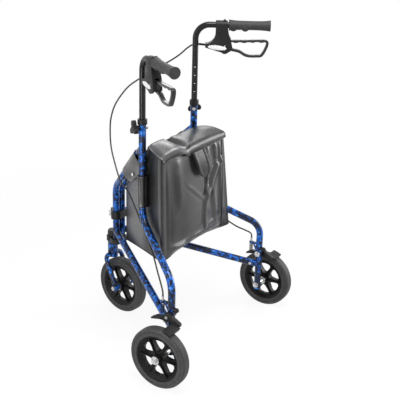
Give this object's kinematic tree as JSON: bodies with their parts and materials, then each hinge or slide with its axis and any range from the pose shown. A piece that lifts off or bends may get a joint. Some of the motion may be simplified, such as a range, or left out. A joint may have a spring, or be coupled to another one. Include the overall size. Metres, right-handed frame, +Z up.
{
  "type": "three wheel rollator",
  "caption": "Folding walking frame on braked rear wheels and a swivelling front wheel, with height-set handles, loop brake levers and a hanging bag.",
  "frame": {"origin": "on the ground below the middle of the part", "axes": "+X forward, +Y to the user's left, +Z up"},
  "size_m": [0.5614, 0.7076, 0.989],
  "materials": {
    "blue_tube": "gloss",
    "black_tube": "satin",
    "black_moulding": "satin",
    "zinc": "satin",
    "grip_rubber": "matt",
    "tyre_rubber": "matt",
    "bag_fabric": "matt",
    "cable_sheath": "gloss",
    "spring_steel": "satin"
  },
  "bodies": {
    "front_column": {"upper_hinge_block": "black_moulding", "lower_hinge_block": "black_moulding", "hinge_screws": "zinc", "head_tube": "blue_tube", "stem_bushes": "zinc", "stem_cap": "black_moulding", "bag_body": "bag_fabric"},
    "bag_flap": {"bag_flap": "bag_fabric"},
    "front_fork": {"fork": "blue_tube", "stem_nut": "zinc", "front_axle": "zinc"},
    "front_wheel": {"front_tyre": "tyre_rubber", "front_rim": "black_moulding", "front_bushes": "zinc"},
    "left_frame": {"rear_tube_left": "blue_tube", "front_tube_left": "blue_tube", "lower_rail_left": "blue_tube", "sleeve_collar_left": "black_moulding", "cable_bracket_left": "blue_tube", "brake_hardware_left": "zinc", "leg_buffer_left": "black_moulding", "rear_axle_left": "zinc", "clamp_bolt_left": "zinc", "bag_strap_left": "bag_fabric", "brake_cable_left": "cable_sheath"},
    "left_knob": {"clamp_knob_left": "black_moulding"},
    "left_wheel": {"rear_tyre_left": "tyre_rubber", "rear_rim_left": "black_moulding", "hub_bushes_left": "zinc"},
    "left_brake_arm": {"brake_arm_left": "black_moulding", "brake_shoe_left": "black_moulding", "brake_spring_left": "spring_steel"},
    "left_handle": {"handle_post_left": "black_tube", "handgrip_left": "grip_rubber", "brake_housing_left": "black_moulding", "lever_pin_left": "zinc"},
    "left_lever": {"brake_lever_left": "black_moulding"},
    "right_frame": {"rear_tube_right": "blue_tube", "front_tube_right": "blue_tube", "lower_rail_right": "blue_tube", "sleeve_collar_right": "black_moulding", "cable_bracket_right": "blue_tube", "brake_hardware_right": "zinc", "leg_buffer_right": "black_moulding", "rear_axle_right": "zinc", "clamp_bolt_right": "zinc", "bag_strap_right": "bag_fabric", "brake_cable_right": "cable_sheath"},
    "right_knob": {"clamp_knob_right": "black_moulding"},
    "right_wheel": {"rear_tyre_right": "tyre_rubber", "rear_rim_right": "black_moulding", "hub_bushes_right": "zinc"},
    "right_brake_arm": {"brake_arm_right": "black_moulding", "brake_shoe_right": "black_moulding", "brake_spring_right": "spring_steel"},
    "right_handle": {"handle_post_right": "black_tube", "handgrip_right": "grip_rubber", "brake_housing_right": "black_moulding", "lever_pin_right": "zinc"},
    "right_lever": {"brake_lever_right": "black_moulding"}
  },
  "joints": [
    {"name": "left_fold", "type": "hinge", "parent": "front_column", "child": "left_frame", "pos_m": [0.20395, 0.0151, 0.3], "axis": [0, 0, 1], "range_deg": [0, 28], "deforming": ["bag_body", "bag_flap"]},
    {"name": "left_height", "type": "slide", "parent": "left_frame", "child": "left_handle", "axis": [0, 0, 1], "range_m": [-0.078, 0.078], "deforming": ["brake_cable_left"]},
    {"name": "left_squeeze", "type": "hinge", "parent": "left_handle", "child": "left_lever", "pos_m": [-0.06737, 0.18663, 0.857], "axis": [0.5344, 0.8453, 0], "range_deg": [0, 9], "stiffness_Nm_per_rad": 2},
    {"name": "left_brake", "type": "hinge", "parent": "left_frame", "child": "left_brake_arm", "pos_m": [-0.18571, 0.26144, 0.21], "axis": [0, -1, 0], "range_deg": [0, 2.7], "deforming": ["brake_spring_left"]},
    {"name": "left_roll", "type": "hinge", "parent": "left_frame", "child": "left_wheel", "pos_m": [-0.18571, 0.31844, 0.095], "axis": [0, 1, 0], "continuous": true},
    {"name": "left_clamp", "type": "hinge", "parent": "left_frame", "child": "left_knob", "pos_m": [0.02206, 0.15967, 0.709], "axis": [-0.5344, -0.8453, 0], "continuous": true},
    {"name": "right_fold", "type": "hinge", "parent": "front_column", "child": "right_frame", "pos_m": [0.20395, -0.0151, 0.3], "axis": [0, 0, 1], "range_deg": [-28, 0], "deforming": ["bag_body", "bag_flap"]},
    {"name": "right_height", "type": "slide", "parent": "right_frame", "child": "right_handle", "axis": [0, 0, 1], "range_m": [-0.13, 0.026], "deforming": ["brake_cable_right"]},
    {"name": "right_squeeze", "type": "hinge", "parent": "right_handle", "child": "right_lever", "pos_m": [-0.06737, -0.18663, 0.909], "axis": [-0.5344, 0.8453, 0], "range_deg": [0, 9], "stiffness_Nm_per_rad": 2},
    {"name": "right_brake", "type": "hinge", "parent": "right_frame", "child": "right_brake_arm", "pos_m": [-0.18571, -0.26144, 0.21], "axis": [0, -1, 0], "range_deg": [0, 2.7], "deforming": ["brake_spring_right"]},
    {"name": "right_roll", "type": "hinge", "parent": "right_frame", "child": "right_wheel", "pos_m": [-0.18571, -0.31844, 0.095], "axis": [0, 1, 0], "continuous": true},
    {"name": "right_clamp", "type": "hinge", "parent": "right_frame", "child": "right_knob", "pos_m": [0.02206, -0.15967, 0.709], "axis": [-0.5344, 0.8453, 0], "continuous": true},
    {"name": "swivel", "type": "hinge", "parent": "front_column", "child": "front_fork", "pos_m": [0.23095, 0, 0.23], "axis": [0, 0, 1], "continuous": true},
    {"name": "front_roll", "type": "hinge", "parent": "front_fork", "child": "front_wheel", "pos_m": [0.18526, 0.00529, 0.095], "axis": [0.1149, 0.9934, 0], "continuous": true},
    {"name": "flap_lift", "type": "hinge", "parent": "front_column", "child": "bag_flap", "pos_m": [-0.01805, 0, 0.64666], "axis": [0, 1, 0], "range_deg": [0, 90]}
  ],
  "couplings": [
    {"joint": "left_brake", "follows": "left_squeeze", "ratio": 0.3},
    {"joint": "right_brake", "follows": "right_squeeze", "ratio": 0.3},
    {"joint": "right_fold", "follows": "left_fold", "ratio": -1}
  ]
}
